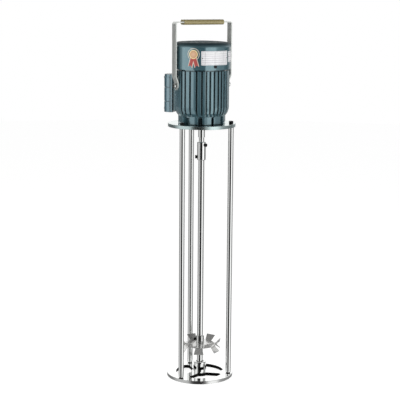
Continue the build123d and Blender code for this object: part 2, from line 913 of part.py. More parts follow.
# The cowl's dome: a flank, a round shoulder and a shallow crown, all tangent
crown_radius = cowl_radius - cowl_shoulder_radius
crown_level = cowl_shoulder_height + cowl_shoulder_radius

with BuildPart() as fan_cowl:
    for shrink, mode in ((0, Mode.ADD), (cowl_wall, Mode.SUBTRACT)):
        with BuildSketch(profile_plane):
            with BuildLine():
                shoulder_start = (cowl_radius - shrink, cowl_shoulder_height)
                crown_start = (crown_radius, crown_level - shrink)
                crown_top = (0, crown_level + cowl_dome_rise - shrink)
                Polyline(crown_top, (0, cowl_bottom), (cowl_radius - shrink, cowl_bottom), shoulder_start)
                TangentArc(shoulder_start, crown_start, tangent=(0, 1))
                TangentArc(crown_top, crown_start, tangent=(1, 0))
            make_face()
        revolve(axis=Axis.Z, mode=mode)
    with BuildSketch(Plane.XY.offset(crown_level + cowl_dome_rise)):
        for radius, count in zip(grille_circles, grille_slot_counts):
            pitch = 360 / count
            bar_turn = grille_bar / radius * 180 / pi
            slot_turn = pitch - bar_turn - grille_slot_width / radius * 180 / pi
            for number in range(count):
                with BuildLine():
                    arc = CenterArc((0, 0), radius, number * pitch, slot_turn)
                SlotArc(arc, grille_slot_width)
    extrude(amount=-cowl_dome_rise - cowl_wall * 3, mode=Mode.SUBTRACT)
    for turn in cowl_screw_turns:
        with BuildSketch(radial_plane(turn, cowl_radius + cowl_wall, cowl_screw_level)):
            Circle(cowl_screw_radius + slip_gap)
        extrude(amount=-cowl_wall * 3, mode=Mode.SUBTRACT)
write_piece(fan_cowl, "fan_cowl", motor_place)

with BuildPart() as cowl_screws:
    for turn in cowl_screw_turns:
        with Locations(radial_plane(turn, cowl_radius, cowl_screw_level)):
            add(
                socket_screw(
                    cowl_screw_radius, cowl_screw_reach, cowl_screw_head_radius, cowl_screw_head_height
                )
            )
write_piece(cowl_screws, "cowl_screws", motor_place)

# Terminal and capacitor box: X points away from the motor and Z starts at the box's foot

tray_floor = box_seat + box_wall
gasket_seat = box_seat + tray_depth
cover_seat = gasket_seat + gasket_thickness
cover_bore = box_radius - box_wall
cover_crown = cover_seat + box_radius
post_levels = (post_inset, box_height - post_inset)
post_top = cover_seat + cover_bore - soft_gap * 2
cover_head_seat = cover_crown - cover_screw_head_height / 2

with BuildPart() as terminal_box:
    with BuildSketch():
        with Locations((box_seat, 0)):
            Rectangle(tray_depth, 2 * box_radius, align=(Align.MIN, Align.CENTER))
    extrude(amount=box_height)
    with BuildSketch(Plane.XY.offset(box_wall)):
        with Locations((tray_floor, 0)):
            Rectangle(tray_depth, 2 * cover_bore, align=(Align.MIN, Align.CENTER))
    extrude(amount=box_height - 2 * box_wall, mode=Mode.SUBTRACT)
    for level in post_levels:
        with BuildSketch(radial_plane(0, tray_floor, level)):
            Circle(post_radius)
        extrude(amount=post_top - tray_floor)
        with BuildSketch(radial_plane(0, post_top, level)):
            Circle(cover_screw_radius)
        extrude(amount=-cover_screw_reach, mode=Mode.SUBTRACT)
    with BuildSketch(radial_plane(0, box_seat, box_height / 2)):
        Circle(wire_hole_radius)
    extrude(amount=tray_depth, mode=Mode.SUBTRACT)
write_piece(terminal_box, "terminal_box", box_place)

with BuildPart() as box_gasket:
    with BuildSketch(radial_plane(0, gasket_seat, box_height / 2)):
        Rectangle(box_height, 2 * box_radius)
        Rectangle(box_height - 2 * box_wall, 2 * cover_bore, mode=Mode.SUBTRACT)
    extrude(amount=gasket_thickness)
write_piece(box_gasket, "box_gasket", box_place)

with BuildPart() as terminal_box_cover:
    with BuildSketch() as cover_outline:
        with Locations((cover_seat, 0)):
            Circle(box_radius)
            Rectangle(box_radius, 2 * box_radius, align=(Align.MAX, Align.CENTER), mode=Mode.SUBTRACT)
    extrude(amount=box_height)
    with BuildSketch(Plane.XY.offset(box_height)):
        with Locations((cover_seat, 0)):
            Circle(box_radius + cap_band_step)
            Circle(box_radius - cap_band_step, mode=Mode.SUBTRACT)
            Rectangle(2 * box_radius, 3 * box_radius, align=(Align.MAX, Align.CENTER), mode=Mode.SUBTRACT)
    extrude(amount=-cap_band, mode=Mode.SUBTRACT)
    for level in seam_heights:
        with BuildSketch(Plane.XY.offset(level)):
            with Locations((cover_seat, 0)):
                Circle(box_radius + seam_depth)
                Circle(box_radius - seam_depth, mode=Mode.SUBTRACT)
                Rectangle(2 * box_radius, 3 * box_radius, align=(Align.MAX, Align.CENTER), mode=Mode.SUBTRACT)
        extrude(amount=seam_width, mode=Mode.SUBTRACT)
    gland_side = Plane(origin=(cover_seat + gland_offset, 0, gland_rise), z_dir=(0, -1, 0))
    with BuildSketch(gland_side):
        Circle(gland_boss_radius)
    extrude(amount=gland_boss_reach)
    with BuildSketch(Plane.XY.offset(box_wall)):
        with Locations((cover_seat, 0)):
            Circle(cover_bore)
            Rectangle(box_radius, 2 * box_radius, align=(Align.MAX, Align.CENTER), mode=Mode.SUBTRACT)
    extrude(amount=box_height - 2 * box_wall, mode=Mode.SUBTRACT)
    with BuildSketch(gland_side):
        Circle(gland_thread_radius + seat_gap)
    extrude(amount=gland_boss_reach, mode=Mode.SUBTRACT)
    for level in post_levels:
        with BuildSketch(radial_plane(0, cover_head_seat, level)):
            Circle(cover_screw_head_radius + slip_gap)
        extrude(amount=cover_screw_head_height, mode=Mode.SUBTRACT)
        with BuildSketch(radial_plane(0, cover_seat, level)):
            Circle(cover_screw_radius + slip_gap)
        extrude(amount=box_radius, mode=Mode.SUBTRACT)
write_piece(terminal_box_cover, "terminal_box_cover", box_place)

with BuildPart() as cover_screws:
    for level in post_levels:
        with Locations(radial_plane(0, cover_head_seat, level)):
            add(
                socket_screw(
                    cover_screw_radius,
                    cover_head_seat - post_top + cover_screw_reach,
                    cover_screw_head_radius,
                    cover_screw_head_height,
                )
            )
write_piece(cover_screws, "cover_screws", box_place)

capacitor_top = post_levels[1] - post_radius - capacitor_gap

with BuildPart() as capacitor:
    with BuildSketch(Plane.XY.offset(capacitor_rise)):
        with Locations((tray_floor + capacitor_radius, 0)):
            Circle(capacitor_radius)
    extrude(amount=capacitor_top - capacitor_rise)
    fillet(capacitor.edges().group_by(Axis.Z)[0], box_wall)
write_piece(capacitor, "capacitor", box_place)

with BuildPart() as terminal_block:
    with BuildSketch(Plane.XY.offset(terminal_rise)):
        with Locations((tray_floor, 0)):
            Rectangle(terminal_depth, terminal_size[0], align=(Align.MIN, Align.CENTER))
    extrude(amount=terminal_size[1])
    with BuildSketch(radial_plane(0, tray_floor + terminal_depth, terminal_rise + terminal_size[1] / 2)):
        with GridLocations(1, terminal_size[0] / 3, 1, 3):
            Circle(terminal_stud_radius)
    extrude(amount=terminal_stud_height)
write_piece(terminal_block, "terminal_block", box_place)

gland_face = Plane(origin=(cover_seat + gland_offset, -gland_boss_reach, gland_rise), z_dir=(0, -1, 0))
with BuildPart() as cable_gland:
    with BuildSketch(gland_face):
        Circle(gland_thread_radius)
    extrude(amount=-gland_thread_length)
    with BuildSketch(gland_face):
        RegularPolygon(gland_hex_radius, 6)
    extrude(amount=gland_hex_height)
    with BuildSketch(gland_face.offset(gland_hex_height)):
        Circle(gland_dome_radius)
    extrude(amount=gland_dome_height)
    fillet(cable_gland.edges().group_by(Axis.Y)[0], gland_hex_height / 2)
    with BuildSketch(gland_face.offset(-gland_thread_length)):
        Circle(gland_cable_radius)
    extrude(amount=gland_thread_length + gland_hex_height + gland_dome_height, mode=Mode.SUBTRACT)
write_piece(cable_gland, "cable_gland", box_place)

# Carrying handle: upright over the motor, swinging about the two pivot bolts

leg_inner = pivot_boss_face + strap_play
joggle_bottom = pivot_height + joggle_rise
joggle_top = joggle_bottom + joggle_length
leg_middle = leg_inner + strap_thickness / 2
web_half_span = strap_span / 2 - strap_thickness / 2
web_middle = strap_top - strap_thickness / 2
strap_foot = pivot_height - strap_width / 2
washer_seat = leg_inner + strap_thickness + strap_play
head_seat = washer_seat + washer_thickness
strap_hole_radius = pivot_bolt_radius + running_gap

with BuildPart() as handle_strap:
    with BuildSketch(profile_plane.offset(-strap_width / 2)):
        with BuildLine():
            FilletPolyline(
                (leg_middle, strap_foot),
                (leg_middle, joggle_bottom),
                (web_half_span, joggle_top),
                (web_half_span, web_middle),
                (-web_half_span, web_middle),
                (-web_half_span, joggle_top),
                (-leg_middle, joggle_bottom),
                (-leg_middle, strap_foot),
                radius=strap_bend,
            )
        trace(line_width=strap_thickness)
    extrude(amount=strap_width)
    foot_edges = handle_strap.edges().filter_by(Axis.X).group_by(Axis.Z)[0]
    fillet(foot_edges, strap_width / 2 - seat_gap)
    with BuildSketch(radial_plane(0, -strap_span, pivot_height)):
        Circle(strap_hole_radius)
    extrude(amount=strap_span * 2, mode=Mode.SUBTRACT)
write_piece(handle_strap, "handle_strap", motor_place)

with BuildPart() as handle_grip:
    with BuildSketch(radial_plane(0, -grip_length / 2, web_middle)):
        SlotOverall(grip_width, grip_height, rotation=90)
    extrude(amount=grip_length)
    fillet(handle_grip.edges().group_by(Axis.X)[0] + handle_grip.edges().group_by(Axis.X)[-1], grip_edge)
    with BuildSketch(radial_plane(0, -grip_length / 2, web_middle)):
        Rectangle(strap_thickness + slip_gap, strap_width + slip_gap)
    extrude(amount=grip_length, mode=Mode.SUBTRACT)
write_piece(handle_grip, "handle_grip", motor_place)

with BuildPart() as handle_bolts:
    for turn in pivot_turns:
        with Locations(radial_plane(turn, head_seat, pivot_height)):
            add(
                socket_screw(
                    pivot_bolt_radius,
                    head_seat - pivot_boss_face + pivot_bolt_reach,
                    pivot_head_radius,
                    pivot_head_height,
                )
            )
write_piece(handle_bolts, "handle_bolts", motor_place)

with BuildPart() as handle_washers:
    for turn in pivot_turns:
        with BuildSketch(radial_plane(turn, washer_seat, pivot_height)):
            Circle(washer_radius)
            Circle(pivot_bolt_radius + slip_gap, mode=Mode.SUBTRACT)
        extrude(amount=washer_thickness)
write_piece(handle_washers, "handle_washers", motor_place)
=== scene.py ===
import math

import bpy
import numpy as np
from mathutils import Matrix, Vector


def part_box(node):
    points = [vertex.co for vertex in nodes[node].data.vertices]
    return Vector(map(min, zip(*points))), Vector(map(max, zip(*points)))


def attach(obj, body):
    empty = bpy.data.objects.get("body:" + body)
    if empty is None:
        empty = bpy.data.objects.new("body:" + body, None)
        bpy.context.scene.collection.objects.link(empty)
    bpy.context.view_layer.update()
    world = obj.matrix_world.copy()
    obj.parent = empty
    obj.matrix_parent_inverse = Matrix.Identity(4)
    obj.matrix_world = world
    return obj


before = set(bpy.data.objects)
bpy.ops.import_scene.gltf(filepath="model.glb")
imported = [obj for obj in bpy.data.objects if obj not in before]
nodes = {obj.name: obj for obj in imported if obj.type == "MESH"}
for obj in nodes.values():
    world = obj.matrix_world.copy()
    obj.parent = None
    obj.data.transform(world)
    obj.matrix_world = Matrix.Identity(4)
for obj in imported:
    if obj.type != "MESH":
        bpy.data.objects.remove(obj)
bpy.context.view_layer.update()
print("frame loaded:", len(nodes), "nodes")

camera = {
    "side": 9.6,  # degrees round the upright axis from the -Y side
    "distance": 3.5,
    "offset": -0.0032,  # to the left of the axis
    "height": 1.177,
    "pitch": 10.26,  # degrees downwards
    "roll": 0.45,
    "lens": 106.83,
    "sensor": 36.0,
    "clip": (0.05, 60.0),
}


def placeCamera(settings):
    data = bpy.data.cameras.new("viewCamera")
    data.sensor_width = settings["sensor"]
    data.lens = settings["lens"]
    data.clip_start, data.clip_end = settings["clip"]
    turn = Matrix.Rotation(math.radians(settings["side"]), 3, "Z")
    pitch = math.radians(settings["pitch"])
    roll = math.radians(settings["roll"])
    forward = turn @ Vector((0.0, math.cos(pitch), -math.sin(pitch)))
    right = turn @ Vector((1.0, 0.0, 0.0))
    up = right.cross(forward)
    rolledRight = right * math.cos(roll) + up * math.sin(roll)
    rolledUp = up * math.cos(roll) - right * math.sin(roll)
    place = turn @ Vector((settings["offset"], -settings["distance"], 0.0))
    place.z = settings["height"]
    basis = Matrix((rolledRight, rolledUp, -forward)).transposed().to_4x4()
    made = bpy.data.objects.new("viewCamera", data)
    made.matrix_world = Matrix.Translation(place) @ basis
    bpy.context.scene.collection.objects.link(made)
    bpy.context.scene.camera = made


placeCamera(camera)
bpy.context.scene.view_settings.view_transform = "Standard"
print("camera placed")


# a shader node with its inputs: a socket is linked, and any other value is set on the input itself
def addNode(tree, kind, inputs=None, **settings):
    made = tree.nodes.new(kind)
    for key, value in settings.items():
        setattr(made, key, value)
    for key, value in (inputs or {}).items():
        socket = made.inputs[key]
        if isinstance(value, bpy.types.NodeSocket):
            tree.links.new(value, socket)
        else:
            socket.default_value = value
    return made


def mathNode(tree, operation, first, second=0.0):
    return addNode(tree, "ShaderNodeMath", {0: first, 1: second}, operation=operation).outputs[0]


def mixNode(tree, share, first, second):
    return addNode(tree, "ShaderNodeMix", {0: share, 2: first, 3: second}).outputs[0]


def mixColour(tree, share, first, second):
    return addNode(tree, "ShaderNodeMix", {0: share, 6: first, 7: second}, data_type="RGBA").outputs[2]


def rampNode(tree, share, stops):
    made = addNode(tree, "ShaderNodeValToRGB", {0: share})
    ramp = made.color_ramp
    while len(ramp.elements) < len(stops):
        ramp.elements.new(1.0)
    for element, (place, colour) in zip(ramp.elements, stops):
        element.position = place
        element.color = colour if isinstance(colour, tuple) else (colour, colour, colour, 1.0)
    return made.outputs[0]


def rangeNode(tree, value, fromLow, fromHigh, toLow, toHigh):
    inputs = {0: value, 1: fromLow, 2: fromHigh, 3: toLow, 4: toHigh}
    return addNode(tree, "ShaderNodeMapRange", inputs).outputs[0]


def splitNode(tree, vector):
    return addNode(tree, "ShaderNodeSeparateXYZ", {0: vector}).outputs


def noiseNode(tree, place, scale, detail):
    inputs = {"Vector": place, "Scale": scale, "Detail": detail}
    return addNode(tree, "ShaderNodeTexNoise", inputs).outputs[0]


def bumpNode(tree, height, strength, distance):
    inputs = {"Height": height, "Strength": strength, "Distance": distance}
    return addNode(tree, "ShaderNodeBump", inputs)


def objectPlace(tree):
    return addNode(tree, "ShaderNodeTexCoord").outputs["Object"]


def faceNormal(tree):
    return addNode(tree, "ShaderNodeNewGeometry").outputs["Normal"]


# a colour given as 0 to 255 on a screen, as the light that it stands for
def linear(red, green, blue):
    def channel(value):
        value /= 255.0
        return value / 12.92 if value <= 0.04045 else ((value + 0.055) / 1.055) ** 2.4

    return (channel(red), channel(green), channel(blue), 1.0)


white = (1.0, 1.0, 1.0, 1.0)

# surroundings: what metal and gloss see, as bands of light and shade round the object
studio = {
    "front": -90.0 + camera["side"],  # the side that the camera stands on
    # degrees to the right of the front, and the brightness there
    "bands": [
        (-180, 0.12), (-165, 0.3), (-150, 0.3), (-140, 0.06), (-106, 0.05), (-98, 0.3),
        (-90, 0.5), (-86, 1.35), (-37, 1.35), (-34, 0.06), (-12, 0.02), (8, 0.02), (12, 0.06),
        (15, 1.5), (56, 1.5), (61, 0.5), (96, 0.35), (106, 0.06), (128, 0.1), (138, 0.5),
        (160, 0.5), (172, 0.15), (180, 0.12),
    ],
    # the same, well below the horizon, where the cage looks
    "lowBands": [
        (-180, 0.3), (-130, 0.25), (-104, 0.3), (-95, 0.72), (-36, 0.8), (-32, 0.05), (-5, 0.01),
        (24, 0.02), (29, 1.5), (66, 1.5), (72, 0.45), (120, 0.38), (180, 0.3),
    ],
    "brightest": 1.5,
    # the rest of the ranges are of the ray's direction: its rise, or how far it points to the front
    "lowFrom": (-0.13, -0.09),
    "overheadGloss": 0.1,
    "frontGlossTop": (0.34, 0.42),
    "backGlossTop": (0.45, 0.7),
    "backFrom": (-0.55, -0.35),
    "backdropLevel": 1.3,
    "backdropFoot": (0.07, 0.1),
    "backdropFrom": (-0.5, -0.2),
    "diffuse": 0.95,
    "overhead": 0.16,
    "diffuseTop": (-0.05, 0.55),
}


def buildWorld(settings):
    world = bpy.data.worlds.new("studioWorld")
    bpy.context.scene.world = world
    world.use_nodes = True
    tree = world.node_tree
    tree.nodes.clear()
    direction = addNode(tree, "ShaderNodeTexCoord").outputs["Generated"]
    turnInputs = {"Vector": direction, "Angle": -math.radians(settings["front"])}
    turned = addNode(tree, "ShaderNodeVectorRotate", turnInputs, rotation_type="Z_AXIS").outputs[0]
    ahead, aside, rise = splitNode(tree, turned)
    angle = mathNode(tree, "ARCTAN2", aside, ahead)
    share = rangeNode(tree, angle, -math.pi, math.pi, 0.0, 1.0)

    def bandNode(bands):
        return rampNode(tree, share, [((place + 180) / 360, level / settings["brightest"]) for place, level in bands])

    low = rangeNode(tree, rise, *settings["lowFrom"], 1.0, 0.0)
    bands = mixColour(tree, low, bandNode(settings["bands"]), bandNode(settings["lowBands"]))
    grey = addNode(tree, "ShaderNodeRGBToBW", {0: bands}).outputs[0]
    glossy = mathNode(tree, "MULTIPLY", grey, settings["brightest"])
    backdropAround = rangeNode(tree, ahead, *settings["backdropFrom"], 1.0, 0.0)
    backdropAbove = rangeNode(tree, rise, *settings["backdropFoot"], 0.0, 1.0)
    backdrop = mathNode(tree, "MULTIPLY", backdropAround, backdropAbove)
    glossy = mixNode(tree, backdrop, glossy, settings["backdropLevel"])
    frontShade = rangeNode(tree, rise, *settings["frontGlossTop"], 0.0, 1.0)
    backShade = rangeNode(tree, rise, *settings["backGlossTop"], 0.0, 1.0)
    behind = rangeNode(tree, ahead, *settings["backFrom"], 1.0, 0.0)
    shade = mixNode(tree, behind, frontShade, backShade)
    glossyLevel = mixNode(tree, shade, glossy, settings["overheadGloss"])
    diffuseLevel = rangeNode(tree, rise, *settings["diffuseTop"], settings["diffuse"], settings["overhead"])
    path = addNode(tree, "ShaderNodeLightPath").outputs
    mirrored = mathNode(tree, "MAXIMUM", path["Is Glossy Ray"], path["Is Transmission Ray"])
    level = mixNode(tree, mirrored, diffuseLevel, glossyLevel)
    level = mixNode(tree, path["Is Camera Ray"], level, 1.0)
    background = addNode(tree, "ShaderNodeBackground", {"Color": white, "Strength": level})
    addNode(tree, "ShaderNodeOutputWorld", {"Surface": background.outputs[0]})


buildWorld(studio)

# side is in degrees to the right of the front, lift in degrees up from the aim
lamps = {
    "aim": (0.0, 0.0, 0.6),
    "lift": 6.0,
    "distance": 2.6,
    "panels": {
        "keyPanel": {"side": 34.0, "size": (0.8, 1.8), "power": 26.0},
        "fillPanel": {"side": -76.0, "size": (0.6, 1.8), "power": 20.0},
    },
}


def placeLamp(name, settings):
    data = bpy.data.lights.new(name, "AREA")
    data.shape = "RECTANGLE"
    data.size, data.size_y = settings["size"]
    data.energy = settings["power"]
    data.specular_factor = 0.0
    angle = math.radians(studio["front"] + settings["side"])
    lift = math.radians(lamps["lift"])
    back = Vector((math.cos(angle) * math.cos(lift), math.sin(angle) * math.cos(lift), math.sin(lift)))
    made = bpy.data.objects.new(name, data)
    made.rotation_mode = "QUATERNION"
    made.rotation_quaternion = (-back).to_track_quat("-Z", "Y")
    made.location = Vector(lamps["aim"]) + back * lamps["distance"]
    made.visible_glossy = False
    bpy.context.scene.collection.objects.link(made)


for lampName, lampValues in lamps["panels"].items():
    placeLamp(lampName, lampValues)

floor = {
    "radius": 7.0,
    "drop": 0.0005,
    "rings": 8,
    "spokes": 96,
    "colour": (0.8, 0.8, 0.8, 1.0),
    "shown": 0.8,  # glow that the camera sees
    "glow": 0.35,
}


def floorMesh(settings):
    # a flat disc: points at a share of the radius times (cos, sin) of the angle, in rings out from the middle
    spokes = settings["spokes"]
    shares = np.linspace(0.0, 1.0, settings["rings"] + 1)[1:]
    ring, around = np.meshgrid(shares, np.linspace(0.0, 2 * np.pi, spokes, endpoint=False), indexing="ij")
    reach = settings["radius"] * ring
    points = np.stack([reach * np.cos(around), reach * np.sin(around), np.zeros_like(ring) - settings["drop"]], -1)
    points = np.vstack([points.reshape(-1, 3), [[0.0, 0.0, -settings["drop"]]]])
    row = np.arange(settings["rings"] - 1)[:, None] * spokes
    column = np.arange(spokes)[None, :]
    after = (column + 1) % spokes
    quads = np.stack([row + column, row + spokes + column, row + spokes + after, row + after], -1).reshape(-1, 4)
    middle = len(points) - 1
    fans = np.stack([np.full(spokes, middle), column[0], after[0]], -1)
    mesh = bpy.data.meshes.new("floor")
    mesh.from_pydata(points.tolist(), [], quads.tolist() + fans.tolist())
    return mesh


def buildFloor(settings):
    mesh = floorMesh(settings)
    made = bpy.data.objects.new("floor", mesh)
    bpy.context.scene.collection.objects.link(made)
    material, tree = startMaterial("paleFloor")
    diffuse = addNode(tree, "ShaderNodeBsdfDiffuse", {"Color": settings["colour"]})
    path = addNode(tree, "ShaderNodeLightPath").outputs
    glow = rangeNode(tree, path["Is Camera Ray"], 0.0, 1.0, settings["glow"], settings["shown"])
    emission = addNode(tree, "ShaderNodeEmission", {"Color": white, "Strength": glow})
    lit = addNode(tree, "ShaderNodeAddShader", {0: diffuse.outputs[0], 1: emission.outputs[0]})
    clear = addNode(tree, "ShaderNodeBsdfTransparent")
    mirrored = mathNode(tree, "MAXIMUM", path["Is Glossy Ray"], path["Is Transmission Ray"])
    mixed = addNode(tree, "ShaderNodeMixShader", {0: mirrored, 1: lit.outputs[0], 2: clear.outputs[0]})
    addNode(tree, "ShaderNodeOutputMaterial", {"Surface": mixed.outputs[0]})
    mesh.materials.append(material)


def startMaterial(name):
    material = bpy.data.materials.new(name)
    material.use_nodes = True
    tree = material.node_tree
    tree.nodes.clear()
    return material, tree


def finishMaterial(tree, inputs):
    shader = addNode(tree, "ShaderNodeBsdfPrincipled", inputs)
    addNode(tree, "ShaderNodeOutputMaterial", {"Surface": shader.outputs[0]})


buildFloor(floor)
print("stage built")


# what every painted or moulded finish starts from; cloudSpan is of the noise, as the other finishes' spans are of
# what they grade
enamel = {
    "cloudScale": 14.0, "cloudDetail": 4.0, "cloudSpan": (0.3, 0.7), "roughLess": 0.04, "roughMore": 0.05,
    "peelDetail": 2.0, "peelDepth": 0.0003,
    "coatRough": 0.12, "coatIor": 1.5, "ior": 1.5, "tint": white,
}


def paint(name, settings):
    # slow change of shade, orange peel under a clear gloss, painted shade in the recesses, and edges painted pale,
    # partly as rubbed paint and partly as a painted highlight
    settings = {**enamel, **settings}
    material, tree = startMaterial(name)
    place = objectPlace(tree)
    cloud = noiseNode(tree, place, settings["cloudScale"], settings["cloudDetail"])
    peel = noiseNode(tree, place, settings["peelScale"], settings["peelDetail"])
    low, high = settings["cloudSpan"]
    colour = rampNode(tree, cloud, [(low, settings["dark"]), (high, settings["light"])])
    rough = settings["rough"]
    roughness = rangeNode(tree, cloud, low, high, rough - settings["roughLess"], rough + settings["roughMore"])
    coat = settings["coat"]
    bump = bumpNode(tree, peel, settings["peel"], settings["peelDepth"])
    if "recessShade" in settings:
        recessShade = settings["recessShade"]
        # painted shade: the colour is darkened where occlusion finds a recess or a nearby part
        occlusion = addNode(tree, "ShaderNodeAmbientOcclusion", {"Distance": recessShade["reach"]}, samples=recessShade["samples"])
        shade = rangeNode(tree, occlusion.outputs["AO"], *recessShade["span"], recessShade["share"], 0.0)
        colour = mixColour(tree, shade, colour, recessShade["colour"])
    if "crown" in settings:
        # painted shade: the crown's colour is darkened as shade on the top, and its roughness and coat are dulled
        crown = settings["crown"]
        shadedDullTop = rangeNode(tree, splitNode(tree, place)[2], *crown["span"], 0.0, 1.0)
        colour = mixColour(tree, shadedDullTop, colour, crown["colour"])
        roughness = mixNode(tree, shadedDullTop, roughness, crown["rough"])
        coat = rangeNode(tree, shadedDullTop, 0.0, crown["coatGoneBy"], coat, crown["coat"])
    if "edge" in settings:
        # cast edges are rounded over in the shading, and painted pale in patches: partly rubbed paint, partly a painted
        # highlight where the edges catch light
        edge = settings["edge"]
        eased = addNode(tree, "ShaderNodeBevel", {"Radius": edge["radius"]}, samples=edge["samples"]).outputs[0]
        tree.links.new(eased, bump.inputs["Normal"])
        inputs = {0: eased, 1: faceNormal(tree)}
        agreement = addNode(tree, "ShaderNodeVectorMath", inputs, operation="DOT_PRODUCT").outputs["Value"]
        turned = rangeNode(tree, agreement, *edge["span"], 0.0, edge["share"])
        patches = rangeNode(tree, cloud, *edge["patchSpan"], edge["patchLeast"], 1.0)
        colour = mixColour(tree, mathNode(tree, "MULTIPLY", turned, patches), colour, edge["colour"])
    finishMaterial(tree, {
        "Base Color": colour, "Roughness": roughness, "Normal": bump.outputs[0],
        "IOR": settings["ior"], "Specular Tint": settings["tint"],
        "Coat Weight": coat, "Coat Roughness": settings["coatRough"], "Coat IOR": settings["coatIor"],
    })
    return material


# what every bare metal starts from
bareMetal = {
    "streakScale": 1.0, "streakDetail": 5.0, "streakSpan": (0.3, 0.7), "roughLeast": 0.75, "roughMost": 1.3,
    "bumpDepth": 0.0002, "metallic": 1.0,
}


def metal(name, settings):
    # streaks along the grain change its shade, roughness and, slightly, its height
    settings = {**bareMetal, **settings}
    material, tree = startMaterial(name)
    grain = addNode(tree, "ShaderNodeMapping", {"Vector": objectPlace(tree), "Scale": settings["grain"]}).outputs[0]
    streak = noiseNode(tree, grain, settings["streakScale"], settings["streakDetail"])
    low, high = settings["streakSpan"]
    colour = rampNode(tree, streak, [(low, settings["dark"]), (high, settings["light"])])
    rough = settings["rough"]
    roughness = rangeNode(tree, streak, low, high, rough * settings["roughLeast"], rough * settings["roughMost"])
    metallic = settings["metallic"]
    if "foot" in settings:
        # painted shade: a narrow band at the foot is painted near black, as the shade where the rod meets the plate
        foot = settings["foot"]
        footShade = rangeNode(tree, splitNode(tree, objectPlace(tree))[2], *foot["span"], 1.0, 0.0)
        colour = mixColour(tree, footShade, colour, foot["colour"])
    if "topHighlight" in settings:
        # painted highlight: the flat top is painted bright, in patches along the streaks
        topHighlight = settings["topHighlight"]
        level = rangeNode(tree, splitNode(tree, faceNormal(tree))[2], *topHighlight["span"], 0.0, topHighlight["share"])
        patches = rangeNode(tree, streak, *topHighlight["patchSpan"], topHighlight["patchLeast"], 1.0)
        topHighlightPatches = mathNode(tree, "MULTIPLY", level, patches)
        colour = mixColour(tree, topHighlightPatches, colour, topHighlight["colour"])
        metallic = mixNode(tree, topHighlightPatches, metallic, topHighlight["metallic"])
    inputs = {"Base Color": colour, "Metallic": metallic, "Roughness": roughness}
    if "bump" in settings:
        inputs["Normal"] = bumpNode(tree, streak, settings["bump"], settings["bumpDepth"]).outputs[0]
    finishMaterial(tree, inputs)
    return material


# what both turned plates start from
turnedPlate = {
    "rings": 2600.0, "ringDetail": 3.0, "ringSpan": (0.3, 0.7), "bumpDepth": 0.0001,
    "cloudScale": 30.0, "cloudDetail": 3.0, "cloudSpan": (0.3, 0.7), "roughLeast": 0.8, "roughMost": 1.2,
    "wallSpan": (0.2, 0.6),  # the upright part of the normal, from a wall to a flat
    "rimSpan": (0.088, 0.09),  # the radius at which a wall becomes the rim
    "cutRough": 0.6,
}


def plateSteel(name, settings):
    # fine rings on the flats, a satin rim and, where there are windows, walls dark from the cutter
    settings = {**turnedPlate, **settings}
    material, tree = startMaterial(name)
    place = objectPlace(tree)
    squares = [mathNode(tree, "MULTIPLY", part, part) for part in splitNode(tree, place)[:2]]
    radius = mathNode(tree, "SQRT", mathNode(tree, "ADD", *squares))
    along = mathNode(tree, "MULTIPLY", radius, settings["rings"])
    ringInputs = {"W": along, "Scale": 1.0, "Detail": settings["ringDetail"]}
    rings = addNode(tree, "ShaderNodeTexNoise", ringInputs, noise_dimensions="1D").outputs[0]
    low, high = settings["ringSpan"]
    colour = rampNode(tree, rings, [(low, settings["dark"]), (high, settings["light"])])
    upright = mathNode(tree, "ABSOLUTE", splitNode(tree, faceNormal(tree))[2])
    wall = rangeNode(tree, upright, *settings["wallSpan"], 1.0, 0.0)
    rim = mathNode(tree, "MULTIPLY", wall, rangeNode(tree, radius, *settings["rimSpan"], 0.0, 1.0))
    window = mathNode(tree, "SUBTRACT", wall, rim)
    colour = mixColour(tree, rim, colour, settings["rimColour"])
    colour = mixColour(tree, window, colour, settings["cutColour"])
    cloud = noiseNode(tree, place, settings["cloudScale"], settings["cloudDetail"])
    rough = settings["rough"]
    roughSpan = (rough * settings["roughLeast"], rough * settings["roughMost"])
    roughness = rangeNode(tree, cloud, *settings["cloudSpan"], *roughSpan)
    roughness = mixNode(tree, rim, roughness, settings["rimRough"])
    roughness = mixNode(tree, window, roughness, settings["cutRough"])
    bump = bumpNode(tree, rings, settings["bump"], settings["bumpDepth"])
    finishMaterial(tree, {"Base Color": colour, "Metallic": 1.0, "Roughness": roughness, "Normal": bump.outputs[0]})
    return material


cowlLow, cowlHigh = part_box("fan_cowl")
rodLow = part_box("tie_rod_1")[0]

